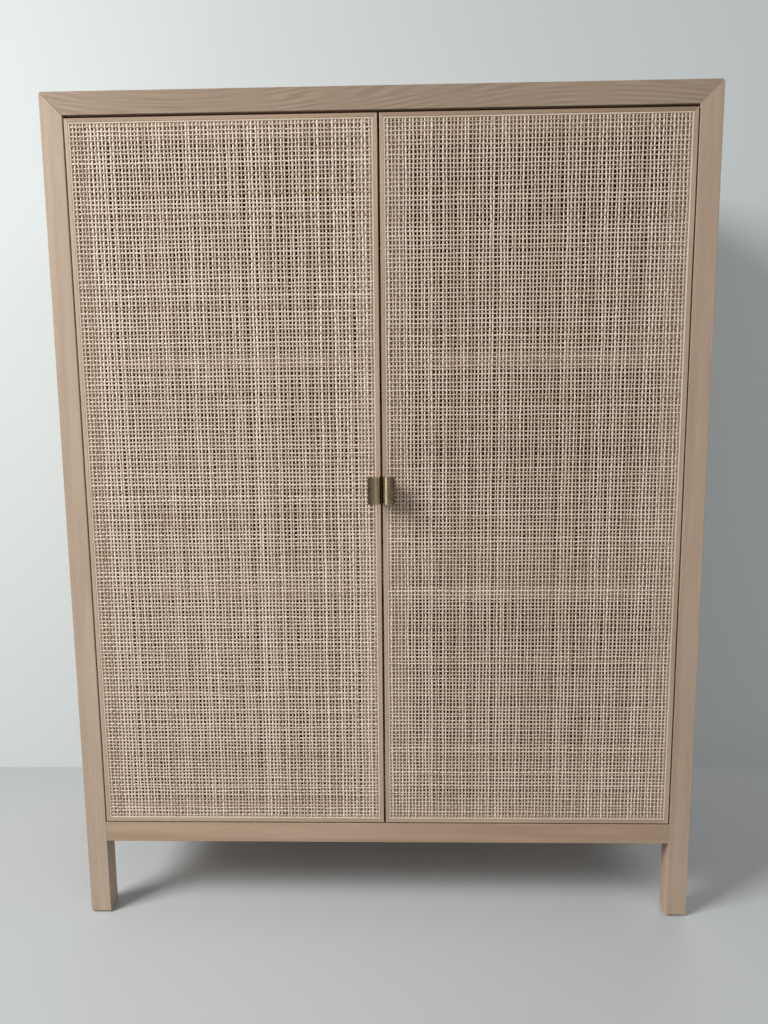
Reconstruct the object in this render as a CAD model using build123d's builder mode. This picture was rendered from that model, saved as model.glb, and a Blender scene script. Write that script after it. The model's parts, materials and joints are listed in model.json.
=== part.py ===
from build123d import *
import os
from math import hypot

# A storage cabinet on four legs, with two cane doors set between its front posts.
# Millimetres. X runs to the right, Y towards the wall and Z up. The origin lies on the
# floor under the middle of the cabinet, with the reach of the pulls counted in.

# Outside of the case
width = 900
depth = 400
height = 1180

# Posts and rails
post_side = 30
rail_height = 30
leg_clearance = 117
arris = 0.8
mitre_line = 0.2
left_mitre_opening = 0.9
tip_cut = 2
tip_lean = 0.35
tip_cutter = 9

# Boards of the case
side_board_thickness = 20
top_board_thickness = 18
base_board_thickness = 18
top_board_arris = 0.5
back_board_thickness = 6
back_board_lap = 8

# Shelves, with their levels measured from the floor to the underside
shelf_levels = {"lower": 482, "upper": 818}
shelf_thickness = 18
shelf_end_gap = 1
shelf_front_gap = 12
shelf_back_gap = 2

# Shelf pins and the rows of holes they fit
pin_radius = 2.5
pin_depth = 10
pin_seat_length = 10
pin_seat_width = 8
pin_seat_thickness = 3
pin_inset = 40
pin_pitch = 32
pin_spare_steps = 2
pin_play = 0.05

# Doors
door_thickness = 22
door_side_gap = 2
door_centre_gap = 3
door_top_gap = 3.8
door_bottom_gap = 2
door_frame_width = 30
door_lip = 5
door_arris = 0.5

# Cane and the spline that holds its edge. A plain grid of openings stands for the holes
# of the weave and leaves as large a part of the sheet open as they do.
cane_thickness = 1.6
cane_openings_across = 12
cane_openings_down = 29
cane_opening_share = 0.47
cane_recess = 2
cane_ledge_width = 2
cane_hollow_depth = 4.5
spline_width = 2.5
spline_depth = 3
spline_drop = 0.2
spline_round = 0.9

# Pulls: bent brass tabs let into the meeting edges of the doors
pull_height = 38
pull_reach = 20
pull_width = 17
pull_sheet = 2
pull_bend = 9
pull_leg = 16
pull_corner = 1.2
pull_screw_spacing = 22
pull_screw_setback = 9
pull_screw_radius = 1.5
pull_screw_head = 3
pull_screw_length = 16

# Barrel hinges, which fold about the line at the front of the gap beside each door
hinge_inset = 120
barrel_radius = 6.5
barrel_length = 18
barrel_setback = 12
barrel_play = 0.05
link_pin_radius = 0.7
link_pin_root = 0.8
link_pin_offset = 5
link_pin_setback = 7.5
link_knee_setback = 16
link_eye_radius = 0.6
link_bow = 2.8
link_width = 2.4
link_thickness = 2.1
link_gap = 0.3
link_side_gap = 0.25
link_play = 0.05

# Door stop, magnets and what they meet on the doors
stop_gap = 1
stop_depth = 18
stop_height = 25
magnet_radius = 5
magnet_length = 14
magnet_offset = 45
magnet_play = 0.05
strike_radius = 6.5
strike_thickness = 1
strike_spike_radius = 1.25
strike_spike_length = 10
bumper_radius = 4
bumper_thickness = 0.7
bumper_inset = 50

# Wall bracket under the rear top rail
bracket_width = 60
bracket_arm = 24
bracket_drop = 30
bracket_sheet = 2
bracket_hole_spacing = 36
bracket_hole_rise = 12
bracket_hole_radius = 2.75

# Foot glides
glide_radius = 11
glide_thickness = 3
glide_nail_radius = 1.5
glide_nail_length = 14

# Dowels, with half of each length in either piece
dowel_radius = 3
dowel_length = 20
dowel_play = 0.05
rail_dowel_drop = 7
side_dowel_inset = 60
flat_dowel_inset = 120

# Wood screws
screw_radius = 1.75
screw_head = 3.5
screw_length = 14
screw_play = 0.05
back_screw_inset = 90

# Places worked out from the sizes
overrun = 1
front = (pull_reach - depth) / 2
back = front + depth
inner_x = width / 2 - post_side
post_centre_x = inner_x + post_side / 2
opening_bottom = leg_clearance + rail_height
opening_top = height - rail_height
back_board_front = back - back_board_thickness
door_back = front + door_thickness
door_bottom = opening_bottom + door_bottom_gap
door_top = opening_top - door_top_gap
door_edge = inner_x - door_side_gap
meeting_edge = door_centre_gap / 2
cane_inset = door_lip + spline_width
hollow_inset = cane_inset + cane_ledge_width
shelf_front = door_back + shelf_front_gap
shelf_back = back_board_front - shelf_back_gap
stop_front = door_back + stop_gap
stop_centre = opening_top - stop_height / 2
pull_bottom = (door_bottom + door_top - pull_height) / 2
hinge_x = inner_x - door_side_gap / 2
hinge_levels = (door_bottom + hinge_inset, (door_bottom + door_top) / 2, door_top - hinge_inset)
link_slot = 2 * (link_thickness + link_side_gap) + link_gap
from_low_end = (Align.CENTER, Align.CENTER, Align.MIN)
sides = {"left": -1, "right": 1}
ends = {"front": (front, 1), "rear": (back, -1)}
corners = [(side, edge, inward) for side in sides.values() for edge, inward in ends.values()]
along_x = (1, 0, 0)
along_y = (0, 1, 0)
upward = (0, 0, 1)


def keep(piece, name):
    """Label a finished piece and write it under its name."""
    piece.part.label = name
    export_step(piece.part, f"parts/{name}.step")


def block(corner, opposite, mode=Mode.ADD):
    """A box between two opposite corners."""
    with Locations(tuple((a + b) / 2 for a, b in zip(corner, opposite))):
        Box(*[abs(b - a) for a, b in zip(corner, opposite)], mode=mode)


def rods(places, direction, radius, length, mode=Mode.ADD):
    """Round rods with their middles at the places."""
    with Locations(*[Location(Plane(place, z_dir=direction)) for place in places]):
        Cylinder(radius, length, mode=mode)


def pegs(places, direction, radius, length, mode=Mode.ADD):
    """Round rods that start at the places and run one way."""
    with Locations(*[Location(Plane(place, z_dir=direction)) for place in places]):
        Cylinder(radius, length, align=from_low_end, mode=mode)


def screws(places, direction, shank, head, length, play=0, mode=Mode.ADD):
    """Countersunk screws with their heads flush at the places, or their holes."""
    with Locations(*[Location(Plane(place, z_dir=direction)) for place in places]):
        Cylinder(shank + play, length + play, align=from_low_end, mode=mode)
        Cone(head + play, shank + play, head - shank, align=from_low_end, mode=mode)


def front_outline(points, y_near, thickness):
    """A piece whose outline is drawn as seen from the front."""
    with BuildSketch(Plane.XZ.offset(-y_near)) as outline:
        with BuildLine():
            Polyline(*points, close=True)
        make_face()
    extrude(outline.sketch, amount=-thickness)


# Dowels: their places serve the dowels and the holes alike
mitre_dowels = [
    ((side * post_centre_x, edge + inward * post_side / 2, opening_top + rail_height / 2),
     (-side * rail_height, 0, post_side))
    for side, edge, inward in corners
]
rail_end_dowels = [
    (side * inner_x, edge + inward * post_side / 2, leg_clearance + rail_height / 2)
    for side, edge, inward in corners
]
side_rail_dowels = [
    (side * post_centre_x, edge + inward * post_side, z)
    for side, edge, inward in corners
    for z in (leg_clearance + rail_height / 2, opening_top + rail_height / 2 - rail_dowel_drop)
]
side_board_dowels = [
    (side * (inner_x + side_board_thickness / 2), edge + inward * post_side, z)
    for side, edge, inward in corners
    for z in (opening_bottom + side_dowel_inset, opening_top - side_dowel_inset)
]
flat_board_dowels = [
    (x, edge + inward * post_side, z)
    for x in (flat_dowel_inset - inner_x, 0, inner_x - flat_dowel_inset)
    for edge, inward in ends.values()
    for z in (opening_bottom - base_board_thickness / 2, height - top_board_thickness / 2)
]


def frame_dowels(play=0, mode=Mode.ADD):
    """Dowels between the posts and rails, or their holes."""
    for place, direction in mitre_dowels:
        rods([place], direction, dowel_radius + play, dowel_length + play, mode)
    rods(rail_end_dowels, along_x, dowel_radius + play, dowel_length + play, mode)
    rods(side_rail_dowels, along_y, dowel_radius + play, dowel_length + play, mode)


def board_dowels(play=0, mode=Mode.ADD):
    """Dowels between the boards and the frame round them, or their holes."""
    places = side_board_dowels + flat_board_dowels
    rods(places, along_y, dowel_radius + play, dowel_length + play, mode)


def drill_dowel_holes():
    """Every dowel hole that crosses the piece being made."""
    frame_dowels(dowel_play, Mode.SUBTRACT)
    board_dowels(dowel_play, Mode.SUBTRACT)


# Back board, lapped into rebates and screwed to the posts and rails
back_screw_places = [
    (side * (inner_x + back_board_lap / 2), back, z)
    for side in sides.values()
    for z in (opening_bottom + back_screw_inset, (opening_bottom + opening_top) / 2,
              opening_top - back_screw_inset)
] + [
    (x, back, z)
    for x in (back_screw_inset - inner_x, 0, inner_x - back_screw_inset)
    for z in (opening_bottom - back_board_lap / 2, opening_top + back_board_lap / 2)
]
wall_hole_places = [
    (x, back, opening_top - bracket_drop + bracket_hole_rise)
    for x in (-bracket_hole_spacing / 2, bracket_hole_spacing / 2)
]


def back_board_body(mode=Mode.ADD):
    """The back board, or the rebate it lies in."""
    reach = inner_x + back_board_lap
    low = (-reach, back_board_front, opening_bottom - back_board_lap)
    high = (reach, back, opening_top + back_board_lap)
    block(low, high, mode)


def back_screws(play=0, mode=Mode.ADD):
    """Screws through the back board, or their holes."""
    screws(back_screw_places, (0, -1, 0), screw_radius, screw_head, screw_length, play, mode)


def wall_holes():
    """Holes for screws through the bracket and the back board into a wall."""
    through = back_board_thickness + bracket_sheet + overrun
    pegs(wall_hole_places, (0, -1, 0), bracket_hole_radius, through, Mode.SUBTRACT)


# Hinges: the barrels' places on the case and on the doors
def barrel_places(side, on_case):
    """The middles of the barrels' open ends."""
    mouth = inner_x if on_case else door_edge
    return [(side * mouth, front + barrel_setback, level) for level in hinge_levels]


def barrel_bores(side, on_case):
    """Bores for one side's barrels, run in from the gap."""
    into = (side if on_case else -side, 0, 0)
    length = barrel_length + barrel_play
    pegs(barrel_places(side, on_case), into, barrel_radius + barrel_play, length, Mode.SUBTRACT)


def hinge_barrels(side, on_case):
    """Slotted barrels, each with the pin that its link turns on."""
    way = side if on_case else -side
    slot_depth = link_pin_offset + link_bow + link_width - door_side_gap / 2
    pin_x = side * hinge_x + way * link_pin_offset
    with BuildPart() as barrels:
        for x, y, level in barrel_places(side, on_case):
            pegs([(x, y, level)], (way, 0, 0), barrel_radius, barrel_length)
            low = (x - way * overrun, y - barrel_radius - overrun, level - link_slot / 2)
            high = (x + way * slot_depth, y + barrel_radius + overrun, level + link_slot / 2)
            block(low, high, Mode.SUBTRACT)
            pin = (pin_x, front + link_pin_setback, level)
            rods([pin], upward, link_pin_radius, link_slot + 2 * link_pin_root)
    return barrels


def hinge_links(side, on_case):
    """Crescent links from the barrels' pins to the knees, one in each barrel."""
    way = side if on_case else -side
    pin = (side * hinge_x + way * link_pin_offset, front + link_pin_setback)
    knee = (side * hinge_x, front + link_knee_setback)
    run = (knee[0] - pin[0], knee[1] - pin[1])
    bow = way * link_bow / hypot(*run)
    bulge = ((pin[0] + knee[0]) / 2 + bow * run[1], (pin[1] + knee[1]) / 2 - bow * run[0])
    centre_line = ThreePointArc(pin, bulge, knee)
    layer = -link_gap / 2 - link_thickness if on_case else link_gap / 2
    with BuildPart() as links:
        for level in hinge_levels:
            with BuildSketch(Plane.XY.offset(level + layer)):
                SlotArc(centre_line, link_width)
                with Locations(pin):
                    Circle(link_pin_radius + link_play, mode=Mode.SUBTRACT)
                with Locations(knee):
                    Circle(link_eye_radius, mode=Mode.SUBTRACT)
            extrude(amount=link_thickness)
    return links


# Posts
def under_posts(z):
    """The middle of each post, at one height."""
    return [(side * post_centre_x, edge + inward * post_side / 2, z) for side, edge, inward in corners]


def glide_nails(play=0, mode=Mode.ADD):
    """Nails of the foot glides, or their holes."""
    places = under_posts(glide_thickness)
    pegs(places, upward, glide_nail_radius + play, glide_nail_length + play, mode)


def break_tips():
    """Take the sharp tips off the four top corners of the case."""
    for side, edge, inward in corners:
        corner = Plane((side * width / 2, edge, height), z_dir=(side, -inward * tip_lean, 1))
        with Locations(corner.offset(-tip_cut)):
            Cylinder(tip_cutter, tip_cutter, align=from_low_end, mode=Mode.SUBTRACT)


def post(side, end):
    """A leg and post in one, mitred at its top into the rail beside it."""
    edge, inward = ends[end]
    outer = side * width / 2
    inner = side * inner_x
    outline = [(outer, glide_thickness), (outer, height), (inner, opening_top), (inner, glide_thickness)]
    with BuildPart() as leg:
        front_outline(outline, min(edge, edge + inward * post_side), post_side)
        fillet(leg.edges().filter_by(Axis.Z), arris)
        break_tips()
        drill_dowel_holes()
        glide_nails(screw_play, Mode.SUBTRACT)
        if end == "front":
            barrel_bores(side, on_case=True)
        else:
            back_board_body(Mode.SUBTRACT)
            back_screws(screw_play, Mode.SUBTRACT)
    return leg


# Rails
def top_rail(end):
    """A rail along the top of the front or back, mitred into its two posts."""
    edge, inward = ends[end]
    left_opening = left_mitre_opening if end == "front" else mitre_line
    outline = [
        (mitre_line - width / 2, height),
        (width / 2 - mitre_line, height),
        (inner_x - mitre_line, opening_top),
        (left_opening - inner_x, opening_top),
    ]
    with BuildPart() as rail:
        front_outline(outline, min(edge, edge + inward * post_side), post_side)
        fillet(rail.edges().filter_by(Axis.X), arris)
        break_tips()
        drill_dowel_holes()
        if end == "rear":
            back_board_body(Mode.SUBTRACT)
            back_screws(screw_play, Mode.SUBTRACT)
            screws(bracket_screw_places, upward, screw_radius, screw_head, screw_length,
                   screw_play, Mode.SUBTRACT)
    return rail


def bottom_rail(end):
    """A rail between two posts, over the gap that the legs leave."""
    edge, inward = ends[end]
    low = (-inner_x, edge, leg_clearance)
    high = (inner_x, edge + inward * post_side, opening_bottom)
    with BuildPart() as rail:
        block(low, high)
        fillet(rail.edges().filter_by(Axis.X), arris)
        drill_dowel_holes()
        if end == "rear":
            back_board_body(Mode.SUBTRACT)
            back_screws(screw_play, Mode.SUBTRACT)
    return rail


def side_rail(side, low_z, high_z):
    """A rail that joins the front and the back on one side."""
    low = (side * inner_x, front + post_side, low_z)
    high = (side * width / 2, back - post_side, high_z)
    with BuildPart() as rail:
        block(low, high)
        fillet(rail.edges().filter_by(Axis.Y), arris)
        drill_dowel_holes()
    return rail


bracket_screw_places = [
    (x, back_board_front - bracket_arm / 2, opening_top - bracket_sheet)
    for x in (-bracket_hole_spacing / 2, bracket_hole_spacing / 2)
]

# Shelf pins: two rows in each side board, with spare holes above and below
pin_rows = (shelf_front + pin_inset, shelf_back - pin_inset)


def side_board(side):
    """The board that closes one side, flush inside with the posts."""
    steps = range(-pin_spare_steps, pin_spare_steps + 1)
    holes = [
        (side * inner_x, y, level - pin_radius + step * pin_pitch)
        for level in shelf_levels.values()
        for y in pin_rows
        for step in steps
    ]
    low = (side * inner_x, front + post_side, opening_bottom)
    high = (side * (inner_x + side_board_thickness), back - post_side, opening_top)
    with BuildPart() as board:
        block(low, high)
        drill_dowel_holes()
        pegs(holes, (side, 0, 0), pin_radius + pin_play, pin_depth + pin_play, Mode.SUBTRACT)
    return board


def shelf_pins():
    """Steel pins, each with a flat seat under its shelf."""
    with BuildPart() as pins:
        for level in shelf_levels.values():
            for side in sides.values():
                for y in pin_rows:
                    root = (side * (inner_x + pin_depth), y, level - pin_radius)
                    pegs([root], (-side, 0, 0), pin_radius, pin_depth + pin_seat_length)
                    low = (side * inner_x, y - pin_seat_width / 2, level - pin_seat_thickness)
                    high = (side * (inner_x - pin_seat_length), y + pin_seat_width / 2, level)
                    block(low, high)
    return pins


def shelf(level):
    """A loose shelf, clear of the side boards, the doors and the back board."""
    reach = inner_x - shelf_end_gap
    with BuildPart() as board:
        block((-reach, shelf_front, level), (reach, shelf_back, level + shelf_thickness))
        fillet(board.edges().filter_by(Axis.X).group_by(Axis.Y)[0], arris)
    return board


# Doors
def door_middle(side):
    """The middle of a door as seen from the front."""
    return (side * (door_edge + meeting_edge) / 2, (door_bottom + door_top) / 2)


def door_size(inset):
    """A door's breadth and height, drawn in from its edges."""
    return door_edge - meeting_edge - 2 * inset, door_top - door_bottom - 2 * inset


def door_rectangle(side, inset, mode=Mode.ADD):
    """A door's outline as seen from the front, drawn in from its edges."""
    with Locations(door_middle(side)):
        Rectangle(*door_size(inset), mode=mode)


def door_slab(side, inset, y_near, y_far, mode=Mode.ADD):
    """A slab with a door's outline, drawn in from its edges, between two depths."""
    with BuildSketch(Plane.XZ.offset(-y_near)) as slab:
        door_rectangle(side, inset)
    extrude(slab.sketch, amount=y_near - y_far, mode=mode)


def cane_sheet(side):
    """The woven sheet, with its grid of openings."""
    breadth, tall = door_size(cane_inset)
    across = breadth / cane_openings_across
    down = tall / cane_openings_down
    with BuildPart() as cane:
        with BuildSketch(Plane.XZ.offset(cane_thickness - cane_recess - front)) as sheet:
            door_rectangle(side, cane_inset)
            with Locations(door_middle(side)):
                with GridLocations(across, down, cane_openings_across, cane_openings_down):
                    Rectangle(cane_opening_share * across, cane_opening_share * down, mode=Mode.SUBTRACT)
        extrude(sheet.sketch, amount=-cane_thickness)
    return cane


def spline_ring(side, y_near, y_far, mode=Mode.ADD):
    """The ring just inside the lip, between two depths."""
    with BuildSketch(Plane.XZ.offset(-y_near)) as ring:
        door_rectangle(side, door_lip)
        door_rectangle(side, cane_inset, Mode.SUBTRACT)
    extrude(ring.sketch, amount=y_near - y_far, mode=mode)


def pull_screws(side, play=0, mode=Mode.ADD):
    """Screws that hold a pull's leg to the meeting edge, or their holes."""
    middle = pull_bottom + pull_height / 2
    places = [
        (side * meeting_edge, front + pull_screw_setback, middle + step)
        for step in (-pull_screw_spacing / 2, pull_screw_spacing / 2)
    ]
    screws(places, (side, 0, 0), pull_screw_radius, pull_screw_head, pull_screw_length, play, mode)


def strike_body(side, play=0, mode=Mode.ADD):
    """A spiked steel disc let into a door's back where it meets the magnet."""
    place = (side * magnet_offset, door_back, stop_centre)
    pegs([place], (0, -1, 0), strike_radius + play, strike_thickness, mode)
    pegs([place], (0, -1, 0), strike_spike_radius + play, strike_spike_length + play, mode)


def door_member(side, outline):
    """One mitred member of a door's frame.

    It has a groove for the spline, a ledge that the cane lies on and a hollow behind the cane.
    """
    with BuildPart() as member:
        front_outline(outline, front, door_thickness)
        by_length = member.edges().group_by(SortBy.LENGTH)
        fillet(by_length[-1] + by_length[-2], door_arris)
        door_slab(side, cane_inset, front, front + cane_recess, Mode.SUBTRACT)
        door_slab(side, hollow_inset, front, front + cane_hollow_depth, Mode.SUBTRACT)
        spline_ring(side, front, front + spline_depth, Mode.SUBTRACT)
        barrel_bores(side, on_case=False)
        leg_low = (side * meeting_edge, front - overrun, pull_bottom)
        leg_high = (side * (meeting_edge + pull_sheet), front + pull_leg, pull_bottom + pull_height)
        block(leg_low, leg_high, Mode.SUBTRACT)
        pull_screws(side, screw_play, Mode.SUBTRACT)
        strike_body(side, screw_play, Mode.SUBTRACT)
    return member


def stile(side, outer_x, inward):
    """An upright of a door's frame."""
    inner = outer_x + inward * door_frame_width
    outline = [
        (outer_x, door_bottom),
        (outer_x, door_top),
        (inner, door_top - door_frame_width),
        (inner, door_bottom + door_frame_width),
    ]
    return door_member(side, outline)


def door_rail(side, outer_z, inward):
    """The top or the bottom of a door's frame."""
    inner = outer_z + inward * door_frame_width
    outline = [
        (side * meeting_edge, outer_z),
        (side * door_edge, outer_z),
        (side * (door_edge - door_frame_width), inner),
        (side * (meeting_edge + door_frame_width), inner),
    ]
    return door_member(side, outline)


def pull(side):
    """A tab that rises from the meeting edge, bends and ends in a flat wing."""
    middle = pull_sheet / 2
    leg_x = side * (meeting_edge + middle)
    wing_y = front - pull_reach + middle
    with BuildPart() as tab:
        with BuildSketch(Plane.XY.offset(pull_bottom)):
            with BuildLine():
                FilletPolyline(
                    (leg_x, front + pull_leg),
                    (leg_x, wing_y),
                    (side * (meeting_edge + pull_width), wing_y),
                    radius=pull_bend - middle,
                )
            trace(line_width=pull_sheet)
        extrude(amount=pull_height)
        wing_end = tab.edges().filter_by(Axis.Y).group_by(Axis.X)[-1 if side > 0 else 0]
        fillet(wing_end, pull_corner)
        pull_screws(side, screw_play, Mode.SUBTRACT)
    return tab


# Everything is made and written here
os.makedirs("parts", exist_ok=True)

for end in ends:
    for hand, side in sides.items():
        keep(post(side, end), f"{end}_{hand}_post")
    keep(top_rail(end), f"{end}_top_rail")
    keep(bottom_rail(end), f"{end}_bottom_rail")

for hand, side in sides.items():
    keep(side_rail(side, opening_top, height), f"{hand}_top_rail")
    keep(side_rail(side, leg_clearance, opening_bottom), f"{hand}_bottom_rail")
    keep(side_board(side), f"{hand}_side_board")

with BuildPart() as top_board:
    top_low = (-inner_x, front + post_side, height - top_board_thickness)
    block(top_low, (inner_x, back - post_side, height))
    fillet(top_board.faces().sort_by(Axis.Z)[-1].edges(), top_board_arris)
    drill_dowel_holes()
keep(top_board, "top_board")

with BuildPart() as base_board:
    base_low = (-inner_x, front + post_side, opening_bottom - base_board_thickness)
    block(base_low, (inner_x, back - post_side, opening_bottom))
    drill_dowel_holes()
keep(base_board, "base_board")

with BuildPart() as back_board:
    back_board_body()
    back_screws(screw_play, Mode.SUBTRACT)
    wall_holes()
keep(back_board, "back_board")

with BuildPart() as back_board_screws:
    back_screws()
keep(back_board_screws, "back_board_screws")

with BuildPart() as dowels_of_frame:
    frame_dowels()
keep(dowels_of_frame, "frame_dowels")

with BuildPart() as dowels_of_boards:
    board_dowels()
keep(dowels_of_boards, "board_dowels")

for shelf_name, level in shelf_levels.items():
    keep(shelf(level), f"{shelf_name}_shelf")
keep(shelf_pins(), "shelf_pins")

# Door stop with its two magnets
magnet_places = [(side * magnet_offset, stop_front, stop_centre) for side in sides.values()]
with BuildPart() as door_stop:
    stop_low = (-inner_x, stop_front, opening_top - stop_height)
    block(stop_low, (inner_x, stop_front + stop_depth, opening_top))
    pegs(magnet_places, along_y, magnet_radius + magnet_play, magnet_length + magnet_play,
         Mode.SUBTRACT)
keep(door_stop, "door_stop")

with BuildPart() as catch_magnets:
    pegs(magnet_places, along_y, magnet_radius, magnet_length)
keep(catch_magnets, "catch_magnets")

# Wall bracket, screwed up into the rear top rail
with BuildPart() as wall_bracket:
    arm_low = (-bracket_width / 2, back_board_front - bracket_arm, opening_top - bracket_sheet)
    block(arm_low, (bracket_width / 2, back_board_front, opening_top))
    drop_low = (-bracket_width / 2, back_board_front - bracket_sheet, opening_top - bracket_drop)
    block(drop_low, (bracket_width / 2, back_board_front, opening_top))
    screws(bracket_screw_places, upward, screw_radius, screw_head, screw_length, screw_play,
           Mode.SUBTRACT)
    wall_holes()
keep(wall_bracket, "wall_bracket")

with BuildPart() as wall_bracket_screws:
    screws(bracket_screw_places, upward, screw_radius, screw_head, screw_length)
keep(wall_bracket_screws, "wall_bracket_screws")

# Foot glides, nailed under the posts
with BuildPart() as foot_glides:
    pegs(under_posts(0), upward, glide_radius, glide_thickness)
    glide_nails()
keep(foot_glides, "foot_glides")

for hand, side in sides.items():
    keep(stile(side, side * door_edge, -side), f"{hand}_door_hinge_stile")
    keep(stile(side, side * meeting_edge, side), f"{hand}_door_meeting_stile")
    keep(door_rail(side, door_top, -1), f"{hand}_door_top_rail")
    keep(door_rail(side, door_bottom, 1), f"{hand}_door_bottom_rail")

    keep(cane_sheet(side), f"{hand}_door_cane")
    with BuildPart() as spline:
        spline_ring(side, front + spline_drop, front + spline_depth)
        fillet(spline.faces().sort_by(Axis.Y)[0].edges(), spline_round)
    keep(spline, f"{hand}_door_spline")

    keep(pull(side), f"{hand}_pull")
    with BuildPart() as tab_screws:
        pull_screws(side)
    keep(tab_screws, f"{hand}_pull_screws")

    with BuildPart() as strike:
        strike_body(side)
    keep(strike, f"{hand}_door_strike")

    with BuildPart() as bumper:
        bumper_place = (side * (door_edge - bumper_inset), door_back, stop_centre)
        pegs([bumper_place], along_y, bumper_radius, bumper_thickness)
    keep(bumper, f"{hand}_door_bumper")

    keep(hinge_barrels(side, on_case=True), f"{hand}_hinge_case_barrels")
    keep(hinge_barrels(side, on_case=False), f"{hand}_hinge_door_barrels")
    keep(hinge_links(side, on_case=True), f"{hand}_hinge_case_links")
    keep(hinge_links(side, on_case=False), f"{hand}_hinge_door_links")
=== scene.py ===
import json
import math

import bpy
import numpy as np
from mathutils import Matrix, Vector


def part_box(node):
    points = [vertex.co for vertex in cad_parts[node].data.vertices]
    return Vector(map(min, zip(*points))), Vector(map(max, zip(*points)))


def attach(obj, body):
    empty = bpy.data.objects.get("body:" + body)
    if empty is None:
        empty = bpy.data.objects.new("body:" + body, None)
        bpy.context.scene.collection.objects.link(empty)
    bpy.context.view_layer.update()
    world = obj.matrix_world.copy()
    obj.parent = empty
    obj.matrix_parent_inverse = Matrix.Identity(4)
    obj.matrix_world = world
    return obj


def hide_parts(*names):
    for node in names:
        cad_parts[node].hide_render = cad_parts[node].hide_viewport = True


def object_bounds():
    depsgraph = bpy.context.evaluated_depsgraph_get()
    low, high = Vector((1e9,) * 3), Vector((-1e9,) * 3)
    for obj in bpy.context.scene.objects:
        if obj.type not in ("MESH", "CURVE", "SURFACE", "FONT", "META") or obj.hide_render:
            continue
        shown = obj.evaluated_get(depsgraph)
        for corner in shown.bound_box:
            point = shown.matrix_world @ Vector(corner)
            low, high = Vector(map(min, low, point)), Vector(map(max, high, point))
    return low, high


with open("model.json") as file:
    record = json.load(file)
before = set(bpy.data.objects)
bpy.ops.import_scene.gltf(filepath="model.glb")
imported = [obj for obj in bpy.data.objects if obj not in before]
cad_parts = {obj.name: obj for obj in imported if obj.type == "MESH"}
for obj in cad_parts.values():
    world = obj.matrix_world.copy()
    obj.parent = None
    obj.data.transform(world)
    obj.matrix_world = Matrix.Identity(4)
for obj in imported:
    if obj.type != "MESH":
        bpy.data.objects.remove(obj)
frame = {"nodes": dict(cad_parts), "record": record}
nodes = frame["nodes"]
cad_low, cad_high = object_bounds()

millimetre = 0.001
x_axis, y_axis, z_axis = range(3)
hands = ("left", "right")

# Colours, as linear red, green and blue
ash_light = (0.545, 0.412, 0.304)
ash_dark = (0.355, 0.251, 0.172)
cane_light = (0.838, 0.708, 0.588)
cane_dark = (0.425, 0.302, 0.202)
reed_light = (0.700, 0.590, 0.465)
reed_dark = (0.560, 0.440, 0.320)
beech_light = (0.520, 0.340, 0.190)
beech_dark = (0.400, 0.250, 0.130)
# Ends of the pulls' painted reflection: lighter near the bend, dark towards the wing's end
pull_light = (0.640, 0.520, 0.330)
pull_dark = (0.150, 0.100, 0.050)
brass_light = (0.440, 0.330, 0.180)
brass_dark = (0.190, 0.125, 0.062)
steel_light = (0.620, 0.620, 0.610)
steel_dark = (0.420, 0.420, 0.410)
plastic_light = (0.060, 0.050, 0.045)
plastic_dark = (0.030, 0.025, 0.020)
rubber_light = (0.560, 0.560, 0.540)
rubber_dark = (0.420, 0.420, 0.400)
no_tint = (1, 1, 1)

# Spans of values; most of a noise's values lie in the noise span
unit_span = (0, 1)
wave_span = (-1, 1)
noise_span = (0.3, 0.7)

# Noise; a stretch share is how much a distance along the grain counts for, so that a small one
# draws features out along it
no_stretch = (1, 1, 1)
no_offset = (0, 0, 0)
noise_detail = 2.0
noise_roughness = 0.5

# Wood grain, with densities in features to the metre; the steps move the grain from board to board
ring_density = 34
ring_count = 3.2
ring_roughness = 0.45
ring_distortion = 0.35
ring_stretch_share = 0.045
fibre_density = 950
fibre_roughness = 0.6
fibre_stretch_share = 0.02
fibre_share = 0.28
cloud_density = 4
cloud_share = 0.26
grain_steps = (1.7, 2.3, 0.9)
wood_roughness = (0.46, 0.62)
wood_specular_share = 0.35
wood_bump_share = 0.5
fibre_height = 0.08 * millimetre

# Lines of a flat-sawn board, which sway along it and fade in and out
line_density = 150
line_wobble = 4.6
line_sway = 0.034
sway_length = 1.1
sway_shift = 0.25
fade_density = 16
fade_span = (0.35, 0.65)
fade_shares = (0.15, 1)

# How the boards differ, with the way that the grain runs by the end of a node's name; some of the tints are
# painted sheen and painted shade
board_tone_share = 0.97
board_tone_reach_share = 0.06
board_tone_step = 2.4
plain_figure_share = 0.36
small_figure_share = 0.3
grain_axes = {
    "post": z_axis, "stile": z_axis, "side_board": z_axis, "back_board": z_axis,
    "front_top_rail": x_axis, "rear_top_rail": x_axis,
    "front_bottom_rail": x_axis, "rear_bottom_rail": x_axis,
    "left_top_rail": y_axis, "right_top_rail": y_axis,
    "left_bottom_rail": y_axis, "right_bottom_rail": y_axis,
    "door_top_rail": x_axis, "door_bottom_rail": x_axis, "door_stop": x_axis,
    "top_board": x_axis, "base_board": x_axis, "shelf": x_axis,
}
node_tints_and_painted_light = {
    # Cooler tint: painted sheen of window light
    "front_left_post": (0.95, 0.98, 1.00),
    "front_right_post": (0.94, 0.93, 0.93),
    # Darker partly for its own wood and partly as painted shade
    "front_top_rail": (0.76, 0.76, 0.76),
    "front_bottom_rail": (0.91, 0.87, 0.83),
    # Door top rails, seen through the cane, darkened as painted shade, the right more than the left
    "right_door_top_rail": (0.72, 0.66, 0.62),
    "left_door_top_rail": (0.80, 0.76, 0.73),
    # Darker board, partly as painted shade of the inside seen through the cane
    "back_board": (0.60, 0.54, 0.46),
}
node_figure_shares = {
    "front_top_rail": 0.62,
    "front_bottom_rail": 0.40,
    "front_left_post": 0.24,
    "front_right_post": 0.24,
}
flat_sawn_nodes = {"front_top_rail"}

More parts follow.
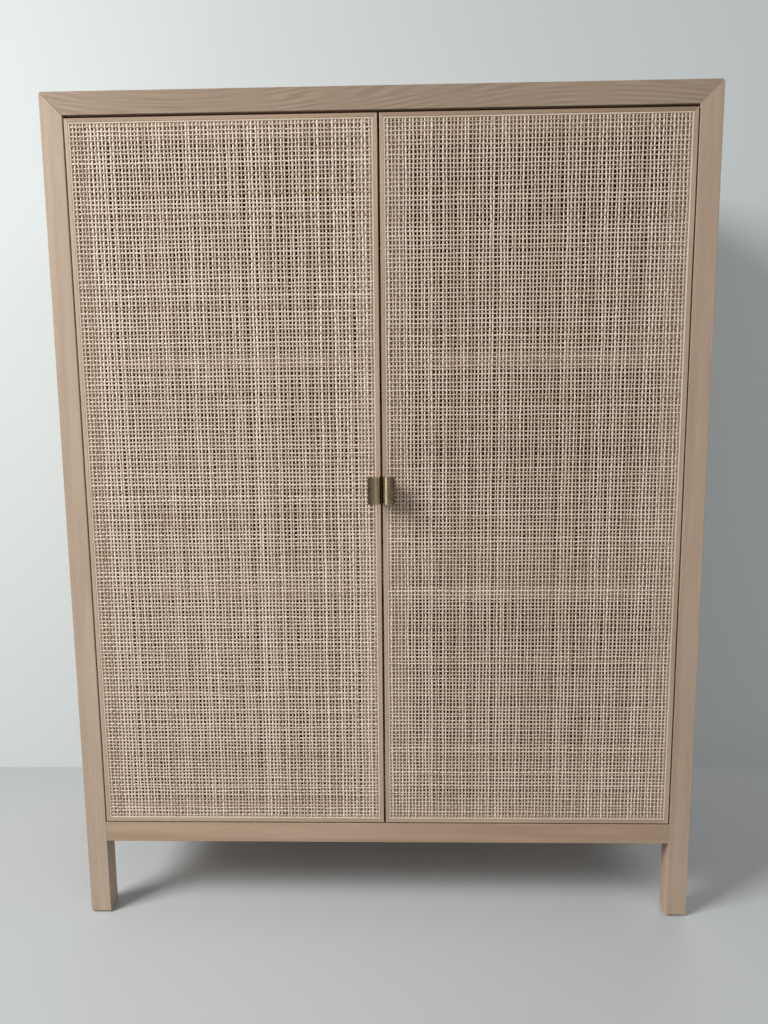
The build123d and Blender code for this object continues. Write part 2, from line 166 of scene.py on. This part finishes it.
# Metal, plastic and rubber; the fineness is how many scratches there are to a cloud
finish_detail = 4.0
finish_roughness = 0.6
finish_span = (0.35, 0.68)
scratch_fineness = 14
scratch_stretch_share = 0.04
scratch_offset = (1, 2, 3)
scratch_span = (0.4, 0.7)
scratch_roughness = (0, 0.08)
scratch_bump_share = 0.25
scratch_height = 0.05 * millimetre

# Brass of the pulls, painted lighter near the bend and darker towards the wing's end as painted reflection,
# with mottled patina; the reaches are measured from the middle
painted_bright_reach = 6 * millimetre
painted_dark_reach = 18.5 * millimetre
painted_reflection_shares = (0.1, 0.9)
wear_cloud_shares = (-0.22, 0.22)
wear_density = 260
wear_detail = 3.0
wear_roughness = 0.6
wear_stretch_share = 0.35
polish_density = 4200
polish_bump_share = 0.3
pull_roughness = (0.24, 0.32)
pull_anisotropy_share = 0.85
pull_anisotropy_turn_share = 0.25

# Cane skin
skin_stretch_share = 0.12
mottle_density = 160
mottle_shares = (-0.16, 0.16)
skin_fibre_density = 2600
skin_fibre_detail = 1.0
skin_fibre_offset = (3, 1, 2)
skin_fibre_shares = (-0.08, 0.08)
skin_roughness = (0.34, 0.56)
skin_specular_share = 0.45
skin_bump_share = 0.4

# Cane weave
strand_pitch = 4.9 * millimetre
row_pitch_low = 5.2 * millimetre
row_pitch_high = 5.85 * millimetre
warp_width = 2.85 * millimetre
weft_width = 2.6 * millimetre
width_shares = {"left": 0.97, "right": 0.86}
edge_share = 0.7
strand_thickness = 0.74 * millimetre
strand_crown_share = 0.45
strand_flat_share = 0.32
spacing_jitter = 0.32 * millimetre
crossing_jitter = 0.10 * millimetre
width_jitter_share = 0.11
wander_reach = 0.30 * millimetre
wander_length = 0.17
wave_shares = (1.0, 0.5, 0.27)
wave_length_shares = (0.8, 1.25)
first_seed = 11

# Tones of the strands, from dark at nought to light at one
# The left door's strands are painted lighter and the right door's darker: painted light and shade across
# the cabinet
door_painted_light_shares = {"left": 1.07, "right": 0.96}
kind_tone_shares = {"warp": 1.0, "weft": 0.88}
tone_middle = 0.60
tone_jitter = 0.19
tone_drift = 0.05
tone_least = 0.05

# Faces of the strands, and their places in the texture square
quad_corners = 4
texture_margin_share = 0.01
texture_start_share = 0.1
texture_column_share = 0.8
texture_patch_share = 0.1

# Stage
wall_gap = 0.085
stage_reach = 7.0
floor_colour = (0.555, 0.585, 0.605)
floor_roughness = 0.50
floor_specular_share = 0.35
wall_colour = (0.670, 0.725, 0.730)
sky_low_colour = (0.29, 0.295, 0.30)
sky_high_colour = (0.22, 0.22, 0.225)
lamp_colour = (1.0, 0.98, 0.96)
full_fan = 180

# Camera
camera_place = (0.0326, -1.304, 0.7745)
camera_turn = (81.896, 0.533, 1.451)
camera_reach = (0.01, 100)
photo_focal_pixels = 800
photo_height_pixels = 1024
sensor_side = 36


# Helpers
def add_object(name, data):
    """An object of the scene."""
    piece = bpy.data.objects.new(name, data)
    bpy.context.scene.collection.objects.link(piece)
    return piece


def bare_material(name):
    """A material with only an output, and the socket that takes its surface."""
    material = bpy.data.materials.new(name)
    material.use_nodes = True
    tree = material.node_tree
    tree.nodes.clear()
    output = tree.nodes.new("ShaderNodeOutputMaterial")
    return material, tree, output.inputs["Surface"]


def new_material(name):
    """A material with only a shader and an output."""
    material, tree, surface = bare_material(name)
    shader = tree.nodes.new("ShaderNodeBsdfPrincipled")
    tree.links.new(shader.outputs["BSDF"], surface)
    return material, tree, shader


def plug(tree, value, socket):
    """Feed a socket from another socket, or set it."""
    if isinstance(value, bpy.types.NodeSocket):
        tree.links.new(value, socket)
    else:
        socket.default_value = value


def maths(tree, operation, first, second=0.0, clamp=False):
    """One sum on two numbers."""
    node = tree.nodes.new("ShaderNodeMath")
    node.operation = operation
    node.use_clamp = clamp
    plug(tree, first, node.inputs[0])
    plug(tree, second, node.inputs[1])
    return node.outputs[0]


def spread(tree, value, span, onto=unit_span):
    """Map one span of values onto another, clamped."""
    node = tree.nodes.new("ShaderNodeMapRange")
    plug(tree, value, node.inputs["Value"])
    for name, number in zip(("From Min", "From Max", "To Min", "To Max"), (*span, *onto)):
        node.inputs[name].default_value = number
    return node.outputs["Result"]


def blend_colours(tree, share, first, second):
    """Mix two colours."""
    node = tree.nodes.new("ShaderNodeMix")
    node.data_type = "RGBA"
    plug(tree, share, node.inputs["Factor"])
    node.inputs["A"].default_value = (*first, 1)
    node.inputs["B"].default_value = (*second, 1)
    return node.outputs["Result"]


def coordinate_axes(tree, kind):
    """The three numbers of a texture coordinate, one by one."""
    coordinates = tree.nodes.new("ShaderNodeTexCoord")
    apart = tree.nodes.new("ShaderNodeSeparateXYZ")
    tree.links.new(coordinates.outputs[kind], apart.inputs["Vector"])
    return apart.outputs


def drawn_out(share, *axes):
    """A stretch for features that are long in the direction of some axes."""
    return tuple(share if axis in axes else 1 for axis in range(3))


def stretched(tree, stretch=no_stretch, offset=no_offset):
    """Object coordinates, shortened by a stretch and moved."""
    coordinates = tree.nodes.new("ShaderNodeTexCoord")
    mapping = tree.nodes.new("ShaderNodeMapping")
    tree.links.new(coordinates.outputs["Object"], mapping.inputs["Vector"])
    mapping.inputs["Scale"].default_value = stretch
    mapping.inputs["Location"].default_value = offset
    return mapping.outputs["Vector"]


def noise(tree, vector, density, detail=noise_detail, roughness=noise_roughness, distortion=0.0):
    """Cloudy noise from zero to one."""
    node = tree.nodes.new("ShaderNodeTexNoise")
    tree.links.new(vector, node.inputs["Vector"])
    node.inputs["Scale"].default_value = density
    node.inputs["Detail"].default_value = detail
    node.inputs["Roughness"].default_value = roughness
    node.inputs["Distortion"].default_value = distortion
    return node.outputs["Fac"]


def bump(tree, shader, field, strength, height):
    """Raise the surface by a field of heights."""
    node = tree.nodes.new("ShaderNodeBump")
    node.inputs["Strength"].default_value = strength
    node.inputs["Distance"].default_value = height
    tree.links.new(field, node.inputs["Height"])
    tree.links.new(node.outputs["Normal"], shader.inputs["Normal"])


# Wood
def ring_noise(tree, axis, offset):
    """Noise that runs with the grain, from which the growth rings are drawn."""
    vector = stretched(tree, drawn_out(ring_stretch_share, axis), offset)
    return noise(tree, vector, ring_density, roughness=ring_roughness, distortion=ring_distortion)


def straight_rings(tree, axis, offset):
    """Rings that run nearly straight along a board."""
    turn = maths(tree, "MULTIPLY", ring_noise(tree, axis, offset), ring_count * math.tau)
    return maths(tree, "SINE", turn)


def swaying_rings(tree, axis, offset):
    """Rings that cross a flat-sawn board at a slant, as lines that sway along it."""
    places = coordinate_axes(tree, "Object")
    across = maths(tree, "ADD", places[(axis + 1) % 3], places[(axis + 2) % 3])
    turn = maths(tree, "MULTIPLY", maths(tree, "ADD", places[axis], sway_shift), math.tau / sway_length)
    sway = maths(tree, "MULTIPLY", maths(tree, "COSINE", turn), line_sway)
    lines = maths(tree, "MULTIPLY", maths(tree, "ADD", across, sway), line_density)
    wobble = maths(tree, "MULTIPLY", ring_noise(tree, axis, offset), line_wobble)
    lines = maths(tree, "ADD", lines, wobble)
    waves = maths(tree, "SINE", maths(tree, "MULTIPLY", lines, math.tau))
    fade = noise(tree, stretched(tree, offset=offset), fade_density)
    return maths(tree, "MULTIPLY", waves, spread(tree, fade, fade_span, fade_shares))


def tinted(colour, tint):
    """A colour, made darker or warmer by a tint."""
    return tuple(a * b for a, b in zip(colour, tint))


def wood(name, axis, light, dark, tint=no_tint, figure_share=small_figure_share, number=0, flat_sawn=False):
    """Timber with its grain along one axis; the figure share is how strongly its rings show."""
    material, tree, shader = new_material(name)
    offset = tuple(number * step for step in grain_steps)
    rings = swaying_rings(tree, axis, offset) if flat_sawn else straight_rings(tree, axis, offset)
    rings = spread(tree, rings, wave_span)
    fibre_vector = stretched(tree, drawn_out(fibre_stretch_share, axis), offset)
    fibres = noise(tree, fibre_vector, fibre_density, roughness=fibre_roughness)
    fibres = spread(tree, fibres, noise_span)
    clouds = spread(tree, noise(tree, stretched(tree, offset=offset), cloud_density), noise_span)
    share = maths(tree, "ADD", maths(tree, "MULTIPLY", rings, figure_share),
                  maths(tree, "MULTIPLY", fibres, fibre_share))
    share = maths(tree, "ADD", share, maths(tree, "MULTIPLY", clouds, cloud_share), clamp=True)
    colour = blend_colours(tree, share, tinted(light, tint), tinted(dark, tint))
    tree.links.new(colour, shader.inputs["Base Color"])
    tree.links.new(spread(tree, fibres, unit_span, wood_roughness), shader.inputs["Roughness"])
    shader.inputs["Specular IOR Level"].default_value = wood_specular_share
    bump(tree, shader, fibres, wood_bump_share, fibre_height)
    return material


def grain_axis(node):
    """Which way the grain of a wooden node runs."""
    return next(axis for ending, axis in grain_axes.items() if node.endswith(ending))


def board_wood(node, number):
    """The ash of one board, with a tone, a figure and a stretch of grain of its own; for some boards the
    tint is partly painted sheen and painted shade.
    """
    tone = board_tone_share + board_tone_reach_share * math.sin(number * board_tone_step)
    tint = node_tints_and_painted_light.get(node, (tone, tone, tone))
    figure_share = node_figure_shares.get(node, plain_figure_share)
    return wood(f"ash_{node}", grain_axis(node), ash_light, ash_dark, tint, figure_share, number,
                flat_sawn=node in flat_sawn_nodes)


# Metal, plastic and rubber
def speckled(name, light, dark, metallic, roughness, density):
    """A metal, plastic or rubber with a clouded finish and fine scratches."""
    material, tree, shader = new_material(name)
    clouds = noise(tree, stretched(tree), density, finish_detail, finish_roughness)
    scratch_vector = stretched(tree, drawn_out(scratch_stretch_share, z_axis), scratch_offset)
    scratches = noise(tree, scratch_vector, density * scratch_fineness)
    colour = blend_colours(tree, spread(tree, clouds, finish_span), light, dark)
    tree.links.new(colour, shader.inputs["Base Color"])
    rough = maths(tree, "ADD", spread(tree, clouds, noise_span, roughness),
                  spread(tree, scratches, scratch_span, scratch_roughness))
    tree.links.new(rough, shader.inputs["Roughness"])
    shader.inputs["Metallic"].default_value = metallic
    bump(tree, shader, scratches, scratch_bump_share, scratch_height)
    return material


def brass_with_painted_reflection(name, light, dark):
    """Aged brass with a painted reflection, lighter near the bend of a pull and darker towards the wing's
    end, and mottled patina.
    """
    material, tree, shader = new_material(name)
    reach = maths(tree, "ABSOLUTE", coordinate_axes(tree, "Object")[x_axis])
    cloud_vector = stretched(tree, drawn_out(wear_stretch_share, z_axis))
    clouds = noise(tree, cloud_vector, wear_density, wear_detail, wear_roughness)
    painted_reflection_and_mottle = maths(tree, "ADD", spread(tree, reach, (painted_bright_reach, painted_dark_reach), painted_reflection_shares),
                 spread(tree, clouds, noise_span, wear_cloud_shares), clamp=True)
    scratch_vector = stretched(tree, drawn_out(scratch_stretch_share, x_axis, y_axis), scratch_offset)
    scratches = noise(tree, scratch_vector, polish_density)
    tree.links.new(blend_colours(tree, painted_reflection_and_mottle, light, dark), shader.inputs["Base Color"])
    tree.links.new(spread(tree, clouds, noise_span, pull_roughness), shader.inputs["Roughness"])
    shader.inputs["Metallic"].default_value = 1.0
    shader.inputs["Anisotropic"].default_value = pull_anisotropy_share
    shader.inputs["Anisotropic Rotation"].default_value = pull_anisotropy_turn_share
    bump(tree, shader, scratches, polish_bump_share, scratch_height)
    return material


# Materials for the CAD nodes
def set_material(node, material):
    """Put a material on every slot of a CAD node."""
    for slot in nodes[node].material_slots:
        slot.link = "OBJECT"
        slot.material = material


slot_materials = {
    "antique_brass": speckled("aged_brass", brass_light, brass_dark, metallic=1.0,
                              roughness=(0.18, 0.30), density=60),
    "zinc_steel": speckled("zinc_steel", steel_light, steel_dark, metallic=1.0,
                           roughness=(0.28, 0.40), density=90),
    "glide_plastic": speckled("glide_plastic", plastic_light, plastic_dark, metallic=0.0,
                              roughness=(0.50, 0.65), density=120),
    "bumper_rubber": speckled("bumper_rubber", rubber_light, rubber_dark, metallic=0.0,
                              roughness=(0.70, 0.85), density=120),
    "beech_dowel": wood("beech", z_axis, beech_light, beech_dark),
    "cane_spline": wood("reed", z_axis, reed_light, reed_dark),
}
for number, subpart in enumerate(frame["record"]["subparts"]):
    node, slot_name = subpart["node"], subpart["material_slot"]
    if slot_name == "ash":
        set_material(node, board_wood(node, number))
    elif slot_name in slot_materials:
        set_material(node, slot_materials[slot_name])
pull_brass = brass_with_painted_reflection("pull_brass", pull_light, pull_dark)
for hand in hands:
    set_material(f"{hand}_pull", pull_brass)


# Cane skin
def strand_material(name, axis):
    """Cane skin, toned strand by strand, with fibres along each strand."""
    material, tree, shader = new_material(name)
    attribute = tree.nodes.new("ShaderNodeAttribute")
    attribute.attribute_name = "strand_tone"
    along = drawn_out(skin_stretch_share, axis)
    mottle = noise(tree, stretched(tree, along), mottle_density)
    fibre_vector = stretched(tree, along, skin_fibre_offset)
    fibres = noise(tree, fibre_vector, skin_fibre_density, skin_fibre_detail)
    share = maths(tree, "ADD", attribute.outputs["Fac"], spread(tree, mottle, noise_span, mottle_shares))
    share = maths(tree, "ADD", share, spread(tree, fibres, noise_span, skin_fibre_shares), clamp=True)
    tree.links.new(blend_colours(tree, share, cane_dark, cane_light), shader.inputs["Base Color"])
    tree.links.new(spread(tree, mottle, noise_span, skin_roughness), shader.inputs["Roughness"])
    shader.inputs["Specular IOR Level"].default_value = skin_specular_share
    bump(tree, shader, fibres, skin_bump_share, fibre_height)
    return material


# Cane weave, strand by strand
def waves(rng, count, places, reach):
    """Slow side-to-side wandering, one curve for each of the strands."""
    total = np.zeros((count, len(places)))
    for share in wave_shares:
        phases = rng.uniform(0, math.tau, (count, 1))
        lengths = wander_length * share * rng.uniform(*wave_length_shares, (count, 1))
        total += share * np.sin(math.tau * places[None, :] / lengths + phases)
    return reach * total


def crossings(rng, low, high):
    """Where each column crosses each row."""
    width, height = high[x_axis] - low[x_axis], high[z_axis] - low[z_axis]
    columns = round(width / strand_pitch - 2 * edge_share) + 1
    x = low[x_axis] + (np.arange(columns) + edge_share) * width / (columns - 1 + 2 * edge_share)
    x = x + rng.normal(0, spacing_jitter, columns)
    rows = round(height * 2 / (row_pitch_low + row_pitch_high) - 2 * edge_share) + 1
    steps = np.linspace(row_pitch_low, row_pitch_high, rows + 1)
    steps[0] *= edge_share
    steps[-1] *= edge_share
    z = low[z_axis] + np.cumsum(steps)[:-1] * height / steps.sum()
    z = z + rng.normal(0, spacing_jitter, rows)
    grid_x = x[:, None] + waves(rng, columns, z, wander_reach)
    grid_z = z[None, :] + waves(rng, rows, x, wander_reach).T
    grid_x = grid_x + rng.normal(0, crossing_jitter, grid_x.shape)
    grid_z = grid_z + rng.normal(0, crossing_jitter, grid_z.shape)
    return grid_x, grid_z


def jittered_widths(rng, width, count):
    """A width for each of the strands."""
    return width * (1 + rng.normal(0, width_jitter_share, (count, 1)))


def strand_tones(rng, count, rings):
    """A tone for each strand, which drifts along it."""
    base = rng.normal(tone_middle, tone_jitter, (count, 1))
    drift = waves(rng, count, np.linspace(0, 1, rings), tone_drift)
    return np.clip(base + drift, tone_least, 1)


def strand_rings(across, along, side, widths, start, stop, middle_y, lift, flat):
    """Section points for a set of strands: two sections at each crossing and one at each end."""
    ends = ((0, 0), (1, 1))
    flats = np.tile((-flat, flat), across.shape[1])
    centre_across = np.pad(np.repeat(across, 2, axis=1), ends, mode="edge")
    centre_along = np.pad(np.repeat(along, 2, axis=1) + flats, ends, constant_values=(start, stop))
    centre_y = np.pad(np.repeat(middle_y + side * lift, 2, axis=1), ends, constant_values=middle_y)
    section = ((-1, 1), (1, 1), (strand_crown_share, -1), (-strand_crown_share, -1))
    points = np.empty((*centre_along.shape, len(section), 3))
    for corner, (wide, deep) in enumerate(section):
        points[:, :, corner, x_axis] = centre_across + wide * widths / 2
        points[:, :, corner, y_axis] = centre_y + deep * strand_thickness / 2
        points[:, :, corner, z_axis] = centre_along
    return points


def strand_faces(count, rings, sides):
    """The points of every face: the sides of all the strands, then both their ends."""
    index = np.arange(count * rings * sides).reshape(count, rings, sides)
    faces = []
    for side in range(sides):
        near = index[:, :, side]
        far = index[:, :, (side + 1) % sides]
        face = np.stack([near[:, :-1], near[:, 1:], far[:, 1:], far[:, :-1]], axis=-1)
        faces.append(face.reshape(-1, quad_corners))
    faces.append(index[:, 0, :])
    faces.append(index[:, -1, ::-1])
    return np.concatenate(faces)


def face_places(*corners):
    """Places in the texture square for many faces at once, from the u and v of their corners."""
    stacked = [np.stack(np.broadcast_arrays(u, v), axis=-1) for u, v in corners]
    return np.stack(stacked, axis=-2).reshape(-1, quad_corners, 2)


def strand_places(count, rings, sides):
    """A column of the texture square for each strand, with a patch for each of its ends."""
    starts = (np.arange(count) + texture_start_share) / count
    side_width = texture_column_share / (sides * count)
    patch_width = texture_patch_share / count
    patch_reach = texture_patch_share / rings
    levels = np.linspace(texture_margin_share, 1 - texture_margin_share, rings)
    places = []
    for side in range(sides):
        left = starts[:, None] + side_width * side
        right = starts[:, None] + side_width * (side + 1)
        low, high = levels[:-1], levels[1:]
        places.append(face_places((left, low), (left, high), (right, high), (right, low)))
    for level in (levels[0], levels[-1]):
        left, right = starts, starts + patch_width
        low, high = level - patch_reach, level + patch_reach
        places.append(face_places((left, low), (right, low), (right, high), (left, high)))
    return np.concatenate(places)


def strand_object(name, points, tones, upright, material):
    """One mesh from a set of strands, each a closed bar of four sides."""
    count, rings, sides, _ = points.shape
    faces = strand_faces(count, rings, sides)
    places = strand_places(count, rings, sides)
    if not upright:
        points = points[..., ::-1]
        faces = faces[:, ::-1]
        places = places[:, ::-1]
    mesh = bpy.data.meshes.new(name)
    mesh.vertices.add(count * rings * sides)
    mesh.vertices.foreach_set("co", points.reshape(-1).astype(np.float32))
    mesh.loops.add(faces.size)
    mesh.loops.foreach_set("vertex_index", faces.reshape(-1).astype(np.int32))
    mesh.polygons.add(len(faces))
    mesh.polygons.foreach_set("loop_start", np.arange(0, faces.size, quad_corners, dtype=np.int32))
    mesh.polygons.foreach_set("use_smooth", np.ones(len(faces), bool))
    layer = mesh.uv_layers.new(name="OFBake")
    layer.data.foreach_set("uv", places.reshape(-1).astype(np.float32))
    attribute = mesh.attributes.new("strand_tone", "FLOAT", "POINT")
    attribute.data.foreach_set("value", np.repeat(tones.reshape(-1), sides).astype(np.float32))
    mesh.update()
    mesh.validate()
    mesh.materials.append(material)
    return add_object(name, mesh)


def weave_door(hand, seed):
    """All the cane strands of one door, in four pieces."""
    rng = np.random.default_rng(seed)
    low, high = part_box(f"{hand}_door_cane")
    middle_y = (low[y_axis] + high[y_axis]) / 2
    lift = (high[y_axis] - low[y_axis] - strand_thickness) / 2
    grid_x, grid_z = crossings(rng, low, high)
    columns, rows = grid_x.shape
    checker = (-1.0) ** (np.arange(columns)[:, None] + np.arange(rows)[None, :])
    warp_widths = jittered_widths(rng, warp_width * width_shares[hand], columns)
    weft_widths = jittered_widths(rng, weft_width * width_shares[hand], rows)
    warp = strand_rings(grid_x, grid_z, checker, warp_widths, low[z_axis], high[z_axis],
                        middle_y, lift, strand_flat_share * row_pitch_low)
    weft = strand_rings(grid_z.T, grid_x.T, -checker.T, weft_widths, low[x_axis], high[x_axis],
                        middle_y, lift, strand_flat_share * strand_pitch)
    kinds = (("warp", warp, True, columns // 2), ("weft", weft, False, rows // 2))
    for kind, points, upright, split in kinds:
        # Each door's share paints light and shade into its strands' tones
        tones = strand_tones(rng, *points.shape[:2]) * kind_tone_shares[kind] * door_painted_light_shares[hand]
        for number, half in enumerate((slice(0, split), slice(split, None)), start=1):
            piece = strand_object(f"{hand}_cane_{kind}_{number}", points[half], tones[half], upright,
                                  cane_materials[kind])
            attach(piece, f"{hand}_door")
            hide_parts(f"{hand}_door_cane")


cane_materials = {
    "warp": strand_material("cane_warp", z_axis),
    "weft": strand_material("cane_weft", x_axis),
}
for seed, hand in enumerate(hands, start=first_seed):
    weave_door(hand, seed)


# Floor and wall
def plane(name, corners, material):
    """A flat piece of the stage."""
    mesh = bpy.data.meshes.new(name)
    mesh.from_pydata(corners, [], [tuple(range(len(corners)))])
    mesh.materials.append(material)
    piece = add_object(name, mesh)


def floor_material():
    """Pale, smooth floor."""
    material, _, shader = new_material("pale_floor")
    shader.inputs["Base Color"].default_value = (*floor_colour, 1)
    shader.inputs["Roughness"].default_value = floor_roughness
    shader.inputs["Specular IOR Level"].default_value = floor_specular_share
    return material


def wall_material():
    """Pale wall, seen from the front only and no hindrance to light."""
    material, tree, surface = bare_material("pale_wall")
    mix = tree.nodes.new("ShaderNodeMixShader")
    clear = tree.nodes.new("ShaderNodeBsdfTransparent")
    paint = tree.nodes.new("ShaderNodeBsdfDiffuse")
    paint.inputs["Color"].default_value = (*wall_colour, 1)
    rays = tree.nodes.new("ShaderNodeLightPath")
    geometry = tree.nodes.new("ShaderNodeNewGeometry")
    seen = maths(tree, "MAXIMUM", rays.outputs["Is Camera Ray"], rays.outputs["Is Glossy Ray"])
    front = maths(tree, "SUBTRACT", 1.0, geometry.outputs["Backfacing"])
    share, first, second = mix.inputs
    tree.links.new(maths(tree, "MULTIPLY", seen, front), share)
    tree.links.new(clear.outputs["BSDF"], first)
    tree.links.new(paint.outputs["BSDF"], second)
    tree.links.new(mix.outputs["Shader"], surface)
    return material


left, right = -stage_reach, stage_reach
near, far = -stage_reach, stage_reach
top = stage_reach
wall_y = cad_high[y_axis] + wall_gap
floor_corners = [(left, near, 0), (right, near, 0), (right, far, 0), (left, far, 0)]
wall_corners = [(left, wall_y, 0), (right, wall_y, 0), (right, wall_y, top), (left, wall_y, top)]
plane("floor", floor_corners, floor_material())
plane("wall", wall_corners, wall_material())


# Lamps
def area_lamp(name, place, aim, size, watts, fan=full_fan):
    """A soft lamp that faces a point; the fan is how many degrees its light spreads over."""
    data = bpy.data.lights.new(name, "AREA")
    data.shape = "RECTANGLE"
    data.size, data.size_y = size
    data.energy = watts
    data.spread = math.radians(fan)
    data.color = lamp_colour
    lamp = add_object(name, data)
    lamp.location = place
    lamp.rotation_euler = (Vector(aim) - Vector(place)).to_track_quat("-Z", "Y").to_euler()
    lamp.visible_camera = False


area_lamp("window", place=(-2.2, -1.5, 2.2), aim=(-0.3, -0.19, 0.62), size=(1.2, 1.2), watts=34.5, fan=105)
area_lamp("room", place=(1.6, -2.8, 2.3), aim=(0, 0, 0.6), size=(2.5, 2.0), watts=19)
area_lamp("behind", place=(1.2, 1.8, 1.7), aim=(0, 0.2, 0.7), size=(1.4, 1.2), watts=8)

# Sky, pale round the horizon and darker overhead
world = bpy.data.worlds.new("studio")
world.use_nodes = True
bpy.context.scene.world = world
sky_tree = world.node_tree
rise = spread(sky_tree, coordinate_axes(sky_tree, "Generated")[z_axis], unit_span)
sky_colour = blend_colours(sky_tree, rise, sky_low_colour, sky_high_colour)
sky_tree.links.new(sky_colour, sky_tree.nodes["Background"].inputs["Color"])

# Camera
camera_data = bpy.data.cameras.new("camera")
camera_data.sensor_width = sensor_side
camera_data.lens = photo_focal_pixels * sensor_side / photo_height_pixels
camera_data.clip_start, camera_data.clip_end = camera_reach
camera = add_object("camera", camera_data)
camera.location = camera_place
camera.rotation_euler = tuple(math.radians(turn) for turn in camera_turn)
bpy.context.scene.camera = camera
bpy.context.scene.view_settings.view_transform = "Standard"
